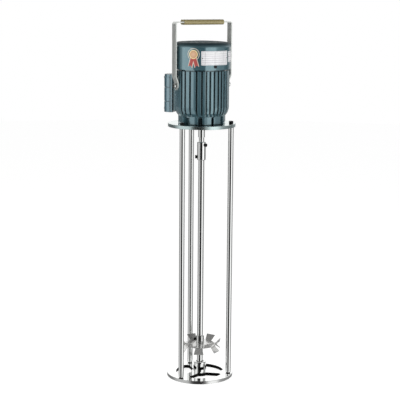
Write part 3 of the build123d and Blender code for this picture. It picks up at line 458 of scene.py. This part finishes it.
motorEnamel = {"peelScale": 380.0, "coat": 1.0, "ior": 2.25, "tint": (0.6, 0.92, 1.0, 1.0)}
recessShadeDefaults = {"samples": 8}
rubbedEdgeHighlight = {"samples": 6, "span": (0.97, 0.8), "patchSpan": (0.35, 0.65), "patchLeast": 0.4}
paints = {
    "motorPaint": {
        **motorEnamel, "dark": linear(62, 90, 99), "light": linear(73, 102, 111),
        "rough": 0.13, "peel": 0.12, "coatRough": 0.09,
        # painted shade in the grooves and where the housing meets the strap and the plate
        "recessShade": {**recessShadeDefaults, "share": 0.95, "colour": linear(5, 14, 18), "reach": 0.014, "span": (0.25, 0.8)},
        # pale edges: partly rubbed paint, partly a painted highlight
        "edge": {**rubbedEdgeHighlight, "radius": 0.0024, "share": 0.35, "colour": linear(140, 160, 166)},
    },
    "cowlPaint": {
        **motorEnamel, "dark": linear(60, 90, 98), "light": linear(70, 100, 108),
        "rough": 0.11, "peel": 0.08, "coatRough": 0.06,
        # the crown's dark colour is painted shade on the cowl's top
        "crown": {
            "span": (cowlLow[2] + 0.0625, cowlLow[2] + 0.072), "colour": linear(18, 33, 40), "rough": 0.85,
            "coatGoneBy": 0.7, "coat": 0.12,
        },
    },
    "boxPaint": {
        **motorEnamel, "dark": linear(58, 88, 99), "light": linear(68, 99, 110),
        "rough": 0.12, "peel": 0.1, "coatRough": 0.08, "ior": 2.5, "tint": (0.66, 0.9, 1.0, 1.0),
        # painted shade where the box meets the motor and the strap
        "recessShade": {**recessShadeDefaults, "share": 0.92, "colour": linear(12, 26, 32), "reach": 0.03, "span": (0.3, 0.85)},
        # pale edges: partly rubbed paint, partly a painted highlight
        "edge": {**rubbedEdgeHighlight, "radius": 0.002, "share": 0.3, "colour": linear(150, 170, 180)},
    },
    "gripSleeve": {
        "dark": linear(155, 143, 100), "light": linear(163, 151, 107),
        "rough": 0.4, "peelScale": 160.0, "peel": 0.1, "coat": 0.5, "coatRough": 0.25,
    },
    "blackRubber": {
        "dark": linear(16, 16, 17), "light": linear(24, 24, 25),
        "rough": 0.6, "peelScale": 900.0, "peel": 0.3, "coat": 0.0,
    },
    "darkPlastic": {
        "dark": linear(24, 26, 28), "light": linear(36, 38, 40),
        "rough": 0.42, "peelScale": 700.0, "peel": 0.25, "coat": 0.0,
    },
    "greyPlastic": {
        "dark": linear(120, 126, 128), "light": linear(134, 140, 142),
        "rough": 0.45, "peelScale": 700.0, "peel": 0.25, "coat": 0.0,
    },
    "redRibbon": {
        "dark": linear(168, 70, 66), "light": linear(194, 98, 94),
        "rough": 0.5, "peelScale": 900.0, "peel": 0.25, "coat": 0.2,
    },
    "paleEdge": {
        "dark": linear(220, 206, 190), "light": linear(236, 226, 212),
        "rough": 0.45, "peelScale": 900.0, "peel": 0.15, "coat": 0.2,
    },
}
plateSteels = {
    "mirrorSteel": {
        "dark": linear(232, 233, 232), "light": linear(240, 241, 240), "rough": 0.05, "bump": 0.01,
        "rimColour": linear(206, 207, 206), "rimRough": 0.28, "cutColour": linear(26, 26, 25),
    },
    "turnedSteel": {
        "dark": linear(180, 193, 190), "light": linear(192, 204, 201), "rough": 0.12, "bump": 0.02,
        "rimColour": linear(184, 201, 201), "rimRough": 0.27, "cutColour": linear(60, 62, 62),
    },
}
drawn = {"grain": (90, 90, 2), "dark": linear(214, 215, 214), "light": linear(224, 225, 224), "rough": 0.05}
blackened = {"grain": (500, 500, 500), "dark": linear(16, 17, 18), "light": linear(28, 29, 31), "bump": 0.03}
metals = {
    "drawnSteel": drawn,
    # the dark band at each rod's foot is painted shade
    "rodSteel": {**drawn, "foot": {"span": (rodLow[2] + 0.0024, rodLow[2] + 0.0028), "colour": linear(30, 30, 30)}},
    "sheetSteel": {
        "grain": (60, 60, 60), "dark": linear(222, 222, 220), "light": linear(232, 232, 230),
        "rough": 0.22, "bump": 0.01, "metallic": 0.66,
    },
    "strapSteel": {
        "grain": (500, 500, 8), "dark": linear(204, 207, 203), "light": linear(218, 221, 217),
        "rough": 0.38, "bump": 0.03, "metallic": 0.8,
    },
    "zincSteel": {
        "grain": (300, 300, 300), "dark": linear(202, 204, 202), "light": linear(220, 222, 220),
        "rough": 0.2, "bump": 0.03,
    },
    "brightZinc": {
        "grain": (300, 300, 300), "dark": linear(230, 232, 232), "light": linear(244, 246, 246),
        "rough": 0.25, "bump": 0.02, "metallic": 0.35,
    },
    "blackSteel": {**blackened, "rough": 0.3, "metallic": 0.5},
    "boltSteel": {
        **blackened, "rough": 0.25, "metallic": 0.7,
        # the bright flat top is a painted highlight
        "topHighlight": {
            "span": (0.7, 0.95), "share": 0.9, "patchSpan": (0.3, 0.6), "patchLeast": 0.6,
            "colour": linear(236, 238, 238), "metallic": 0.1,
        },
    },
    "copperWire": {
        "grain": (800, 800, 800), "dark": linear(150, 80, 40), "light": linear(190, 110, 60),
        "rough": 0.35, "bump": 0.2,
    },
    "laminatedSteel": {
        "grain": (20, 20, 2000), "dark": linear(90, 92, 94), "light": linear(130, 132, 134),
        "rough": 0.4, "bump": 0.3,
    },
}
finishes = {}
for makeFinish, group in ((paint, paints), (plateSteel, plateSteels), (metal, metals)):
    for finishName, finishSettings in group.items():
        finishes[finishName] = makeFinish(finishName, finishSettings)
print("finishes made:", len(finishes))

nodesWith = {
    "mirrorSteel": ["bottom_plate"],
    "turnedSteel": ["motor_plate"],
    "rodSteel": ["tie_rod_1", "tie_rod_2", "tie_rod_3"],
    "drawnSteel": ["bearing_housing", "agitator_shaft", "impeller_hub", "coupling_sleeve", "motor_shaft"],
    "sheetSteel": ["impeller_disc"],
    "strapSteel": ["handle_strap"],
    "zincSteel": [
        "bearing_screws", "rod_foot_screws", "impeller_nut", "rear_shield_screws", "handle_washers", "handle_bolts",
        "drive_bearing_inner_ring", "drive_bearing_outer_ring", "rear_bearing_inner_ring", "rear_bearing_outer_ring",
        "fan_retaining_ring",
    ],
    "brightZinc": ["flange_screws"],
    "boltSteel": ["rod_top_screws", "coupling_screws"],
    "blackSteel": ["hub_screw", "cowl_screws", "cover_screws"],
    "laminatedSteel": ["rotor_core", "stator_core"],
    "copperWire": ["stator_windings"],
    "blackRubber": ["shaft_seal", "box_gasket"],
    "darkPlastic": ["bearing_bush", "cooling_fan", "terminal_block"],
    "greyPlastic": ["capacitor", "cable_gland"],
    "motorPaint": ["drive_end_shield", "motor_housing", "rear_end_shield"],
    "cowlPaint": ["fan_cowl"],
    "boxPaint": ["terminal_box", "terminal_box_cover"],
    "gripSleeve": ["handle_grip"],
}
dressed = set()
for finishName, nodeNames in nodesWith.items():
    for nodeName in nodeNames:
        materials = nodes[nodeName].data.materials
        materials.clear()
        materials.append(finishes[finishName])
        dressed.add(nodeName)
print("nodes dressed:", len(dressed), "left bare:", sorted(set(nodes) - dressed))

cowlMiddle = ((cowlLow[0] + cowlHigh[0]) / 2, (cowlLow[1] + cowlHigh[1]) / 2)
cowlRadius = min(cowlHigh[0] - cowlLow[0], cowlHigh[1] - cowlLow[1]) / 2
sunk = 0.0002  # how deep the back of a label goes into the cowl


# A closed plate that lies round the cowl. Its outline is a closed line of points (across, up), and each ring is that
# outline drawn in to a share of its size, at its own lift off the cowl: a point stands at the radius of the cowl plus
# the lift, at the angle across / radius, and at the height up. A share of nought is a pole; without poles the last
# ring joins the first, which leaves a hole in the middle.
def wrappedPlate(name, outline, rings, settings, finish):
    shares = np.array([ring[0] for ring in rings])
    lifts = np.array([ring[1] for ring in rings])
    rowPoints = np.where(shares > 0, len(outline), 1)
    starts = np.concatenate([[0], np.cumsum(rowPoints)])
    share = np.repeat(shares, rowPoints)
    lift = np.repeat(lifts, rowPoints)
    place = np.concatenate([outline if value > 0 else outline[:1] for value in shares]) * share[:, None]
    turn = math.radians(settings.get("turn", 0.0))
    across = place[:, 0] * math.cos(turn) - place[:, 1] * math.sin(turn) + settings.get("shift", 0.0)
    up = place[:, 0] * math.sin(turn) + place[:, 1] * math.cos(turn)
    angle = math.radians(studio["front"] + settings["angle"]) + across / cowlRadius
    points = np.stack([
        cowlMiddle[0] + (cowlRadius + lift) * np.cos(angle),
        cowlMiddle[1] + (cowlRadius + lift) * np.sin(angle),
        cowlLow[2] + settings["height"] + up,
    ], axis=1)
    step = np.arange(len(outline))
    after = np.roll(step, -1)
    pairs = list(zip(range(len(rings) - 1), range(1, len(rings))))
    if shares[0] > 0:
        pairs.append((len(rings) - 1, 0))
    faces = []
    for inner, outer in pairs:
        if rowPoints[inner] == 1:
            corners = (starts[inner] + 0 * step, starts[outer] + step, starts[outer] + after)
        elif rowPoints[outer] == 1:
            corners = (starts[inner] + step, starts[outer] + 0 * step, starts[inner] + after)
        else:
            corners = (starts[inner] + step, starts[outer] + step, starts[outer] + after, starts[inner] + after)
        faces += np.stack(corners, axis=1).tolist()
    mesh = bpy.data.meshes.new(name)
    mesh.from_pydata(points.tolist(), [], faces)
    mesh.polygons.foreach_set("use_smooth", np.ones(len(faces), dtype=bool))
    layer = mesh.uv_layers.new(name="labelPlace")
    corner = np.empty(len(mesh.loops), dtype=np.int32)
    mesh.loops.foreach_get("vertex_index", corner)
    layer.data.foreach_set("uv", place[corner].ravel())
    mesh.update()
    piece = bpy.data.objects.new(name, mesh)
    bpy.context.collection.objects.link(piece)
    piece.data.materials.append(finish)
    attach(piece, "frame")


# the line through the corners, cut into even steps
def evenLine(corners, count):
    loop = np.vstack([corners, corners[:1]])
    along = np.concatenate([[0.0], np.cumsum(np.hypot(*np.diff(loop, axis=0).T))])
    place = np.linspace(0.0, along[-1], count, endpoint=False)
    return np.stack([np.interp(place, along, loop[:, 0]), np.interp(place, along, loop[:, 1])], axis=1)


# a rectangle with four quarter circles: a point is its corner's centre plus the radius times (cos, sin) of the angle,
# and the nudge gives a point on an axis to one corner
def roundedOutline(width, height, corner, count=160):
    degreesApart = 10
    nudge = 0.01
    swing = np.radians(np.arange(0, 360, degreesApart))
    middleX = np.where(np.cos(swing + nudge) > 0, 1, -1) * (width / 2 - corner)
    middleY = np.where(np.sin(swing + nudge) > 0, 1, -1) * (height / 2 - corner)
    return evenLine(np.stack([middleX + corner * np.cos(swing), middleY + corner * np.sin(swing)], axis=1), count)


# a circle whose radius waves in and out: the radius times (1 + depth x cosine of waves x angle)
def scallopedOutline(radius, depth, waves, count=144):
    swing = np.linspace(0, 2 * math.pi, count, endpoint=False)
    reach = radius * (1 + depth * np.cos(waves * swing))
    return np.stack([reach * np.cos(swing), reach * np.sin(swing)], axis=1)


# an upright strip with its middle at the origin and its foot cut to a notch
def tailOutline(width, length, notch, count=96):
    half = width / 2
    foot = -length / 2
    corners = [[-half, -foot], [-half, foot], [0.0, foot + notch], [half, foot], [half, -foot]]
    return evenLine(np.array(corners), count)


# rings of a flat face, a rim that is eased over the share edge of the size, and a flat back sunk into the cowl
def flatRings(thickness, edge, steps=9):
    shoulder, shoulderLift, rimLift = 0.4, 0.92, 0.55  # of the edge, and of the thickness
    face = [(share, thickness) for share in np.linspace(0.0, 1.0 - edge, steps)]
    rim = [(1.0 - edge * shoulder, thickness * shoulderLift), (1.0, thickness * rimLift), (1.0, -sunk)]
    back = [(share, -sunk) for share in np.linspace(1.0, 0.0, steps)[1:]]
    return face + rim + back


def labelPlace(tree):
    return addNode(tree, "ShaderNodeUVMap", uv_map="labelPlace").outputs[0]


def ruledPlate(name, settings):
    # printed sheet: a frame line, rows and columns in grey ink, scuffed in places
    material, tree = startMaterial(name)
    across, up = splitNode(tree, labelPlace(tree))[:2]
    fromSide = mathNode(tree, "SUBTRACT", settings["width"] / 2, mathNode(tree, "ABSOLUTE", across))
    fromFoot = mathNode(tree, "SUBTRACT", settings["tall"] / 2, mathNode(tree, "ABSOLUTE", up))
    margin = mathNode(tree, "MINIMUM", fromSide, fromFoot)
    inside = mathNode(tree, "GREATER_THAN", margin, settings["margin"])
    fromFrame = mathNode(tree, "ABSOLUTE", mathNode(tree, "SUBTRACT", margin, settings["margin"]))
    frameLine = mathNode(tree, "LESS_THAN", fromFrame, settings["line"])
    shifted = mathNode(tree, "ADD", across, settings["columnShift"])
    fromRow = mathNode(tree, "PINGPONG", up, settings["rowStep"] / 2)
    fromColumn = mathNode(tree, "PINGPONG", shifted, settings["columnStep"] / 2)
    rows = mathNode(tree, "LESS_THAN", fromRow, settings["line"])
    columns = mathNode(tree, "LESS_THAN", fromColumn, settings["line"])
    table = mathNode(tree, "MULTIPLY", inside, mathNode(tree, "MAXIMUM", rows, columns))
    ruled = mathNode(tree, "MAXIMUM", frameLine, table)
    cloud = noiseNode(tree, objectPlace(tree), settings["cloudScale"], settings["cloudDetail"])
    low, high = settings["shadeSpan"]
    base = rampNode(tree, cloud, [(low, settings["dark"]), (high, settings["light"])])
    ink = mathNode(tree, "MULTIPLY", ruled, rangeNode(tree, cloud, *settings["cloudSpan"], *settings["inkRange"]))
    bump = bumpNode(tree, cloud, settings["bump"], settings["bumpDepth"])
    finishMaterial(tree, {
        "Base Color": mixColour(tree, ink, base, settings["ink"]), "Metallic": settings["metallic"],
        "Roughness": rangeNode(tree, cloud, *settings["cloudSpan"], *settings["roughRange"]), "Normal": bump.outputs[0],
    })
    return material


def ringedGilt(name, settings):
    # pressed foil: a bright rim, a fine groove and a warmer middle, with a light sunray from the press
    material, tree = startMaterial(name)
    place = labelPlace(tree)
    reach = addNode(tree, "ShaderNodeVectorMath", {0: place}, operation="LENGTH").outputs["Value"]
    across, up = splitNode(tree, place)[:2]
    swing = mathNode(tree, "ARCTAN2", up, across)
    rays = mathNode(tree, "SINE", mathNode(tree, "MULTIPLY", swing, settings["rays"]))
    share = mathNode(tree, "DIVIDE", reach, settings["radius"])
    bump = bumpNode(tree, rays, settings["bump"], settings["bumpDepth"])
    finishMaterial(tree, {
        "Base Color": rampNode(tree, share, settings["tones"]), "Metallic": settings["metallic"],
        "Roughness": rangeNode(tree, rays, -1.0, 1.0, *settings["roughRange"]), "Normal": bump.outputs[0],
    })
    return material


# angle is in degrees to the right of the front, height is above the cowl's lower edge
dataPlate = {"corner": 0.0015, "thickness": 0.0006, "edge": 0.02, "steps": 14, "slot": "screw_steel"}
dataPlates = {
    "namePlate": {**dataPlate, "angle": 28.5, "height": 0.0344, "width": 0.0890, "tall": 0.0405, "rivetInset": 0.0035},
    "sidePlate": {**dataPlate, "angle": 79.6, "height": 0.0370, "width": 0.0485, "tall": 0.0310, "rivetInset": 0.0030},
}
platePrint = {
    "dark": linear(236, 236, 238), "light": linear(248, 248, 250), "ink": linear(70, 72, 78),
    "margin": 0.0022, "line": 0.0003, "rowStep": 0.0061, "columnStep": 0.0290, "columnShift": 0.004,
    "cloudScale": 120.0, "cloudDetail": 4.0, "shadeSpan": (0.35, 0.65), "cloudSpan": (0.3, 0.7),
    "inkRange": (0.5, 0.9), "roughRange": (0.28, 0.42), "metallic": 0.1, "bump": 0.15, "bumpDepth": 0.0004,
}
rivet = {
    "radius": 0.0015, "count": 24, "foot": 0.0004, "rise": 0.0011, "leans": [0, 20, 40, 60, 75, 90],
    "slot": "black_screw",
}
# a dome: a ring stands at a share of the radius that is the sine of its lean from upright, and is lifted by the foot
# plus the rise times the cosine of its lean
rivetRings = [(math.sin(lean), rivet["foot"] + rivet["rise"] * math.cos(lean)) for lean in np.radians(rivet["leans"])]
rivetRings += [(1.0, 0.0), (0.0, 0.0)]
rivetOutline = scallopedOutline(rivet["radius"], 0.0, 1, rivet["count"])
for plateName, plate in dataPlates.items():
    sheetFinish = ruledPlate(plateName + "Print", {**platePrint, "width": plate["width"], "tall": plate["tall"]})
    sheetOutline = roundedOutline(plate["width"], plate["tall"], plate["corner"])
    sheetRings = flatRings(plate["thickness"], plate["edge"], plate["steps"])
    wrappedPlate(plateName, sheetOutline, sheetRings, plate, sheetFinish)
    for side, word in ((-1, "Left"), (1, "Right")):
        shift = side * (plate["width"] / 2 - plate["rivetInset"])
        rivetPlace = {**plate, "shift": shift, "slot": rivet["slot"]}
        wrappedPlate(plateName + "Rivet" + word, rivetOutline, rivetRings, rivetPlace, finishes["blackSteel"])
print("plates and rivets made")

rosette = {
    "angle": -17.5, "height": 0.0451, "slot": "cowl_paint",
    "radius": 0.0128, "waveDepth": 0.02, "waves": 24,
    "faceLift": 0.0011, "faceWave": 0.0002, "ripples": 6, "faceShare": 0.96, "faceRows": 13, "rimLift": 0.0007,
    "backShare": 0.6,
    "ringRadius": 0.0177, "ringWidth": 0.0015, "ringFoot": 0.0004, "ringLift": 0.0006, "ringEase": 0.02,
    "tailReach": 0.0235, "tailSpread": 16.0,  # from the disc's middle to a tail's, and degrees from upright
    "tailEdge": 0.05,
    "tails": {
        "rosetteTailEdge": {
            "width": 0.0138, "length": 0.0300, "notch": 0.006, "thickness": 0.0004, "finish": "paleEdge",
        },
        "rosetteTail": {
            "width": 0.0102, "length": 0.0270, "notch": 0.0045, "thickness": 0.0007, "finish": "redRibbon",
        },
    },
}
giltFinish = ringedGilt("gilt", {
    "radius": rosette["radius"], "rays": 36.0, "metallic": 0.1, "roughRange": (0.26, 0.4),
    "bump": 0.25, "bumpDepth": 0.0003,
    "tones": [
        (0.0, linear(232, 194, 160)), (0.62, linear(214, 172, 136)), (0.78, linear(206, 156, 118)),
        (0.8, linear(158, 100, 66)), (0.83, linear(255, 236, 182)), (1.0, linear(255, 234, 180)),
    ],
})
spread = math.radians(rosette["tailSpread"])
for side, word in ((-1, "Left"), (1, "Right")):
    # each tail hangs from the middle of the disc, leaning outwards
    tailPlace = {
        "angle": rosette["angle"], "slot": rosette["slot"], "turn": side * rosette["tailSpread"],
        "shift": side * rosette["tailReach"] * math.sin(spread),
        "height": rosette["height"] - rosette["tailReach"] * math.cos(spread),
    }
    for stripName, strip in rosette["tails"].items():
        stripOutline = tailOutline(strip["width"], strip["length"], strip["notch"])
        stripRings = flatRings(strip["thickness"], rosette["tailEdge"])
        wrappedPlate(stripName + word, stripOutline, stripRings, tailPlace, finishes[strip["finish"]])
ringShare = 1 - rosette["ringWidth"] / rosette["ringRadius"]
ease, ringFoot, ringLift = rosette["ringEase"], rosette["ringFoot"], rosette["ringLift"]
ringRows = [
    (ringShare, 0.0), (ringShare, ringFoot), (ringShare + ease, ringLift),
    (1.0 - ease, ringLift), (1.0, ringFoot), (1.0, 0.0),
]
wrappedPlate("rosetteRing", scallopedOutline(rosette["ringRadius"], 0.0, 1), ringRows, rosette, finishes["paleEdge"])
# the disc's face is lifted by its own lift plus a wave: the wave's height times the cosine of pi x ripples x share
discShares = np.linspace(0.0, rosette["faceShare"], rosette["faceRows"])
discLifts = rosette["faceLift"] + rosette["faceWave"] * np.cos(math.pi * rosette["ripples"] * discShares)
discRows = list(zip(discShares, discLifts))
discRows += [(1.0, rosette["rimLift"]), (1.0, -sunk), (rosette["backShare"], -sunk), (0.0, -sunk)]
discOutline = scallopedOutline(rosette["radius"], rosette["waveDepth"], rosette["waves"])
wrappedPlate("rosetteDisc", discOutline, discRows, rosette, giltFinish)
print("rosette made")
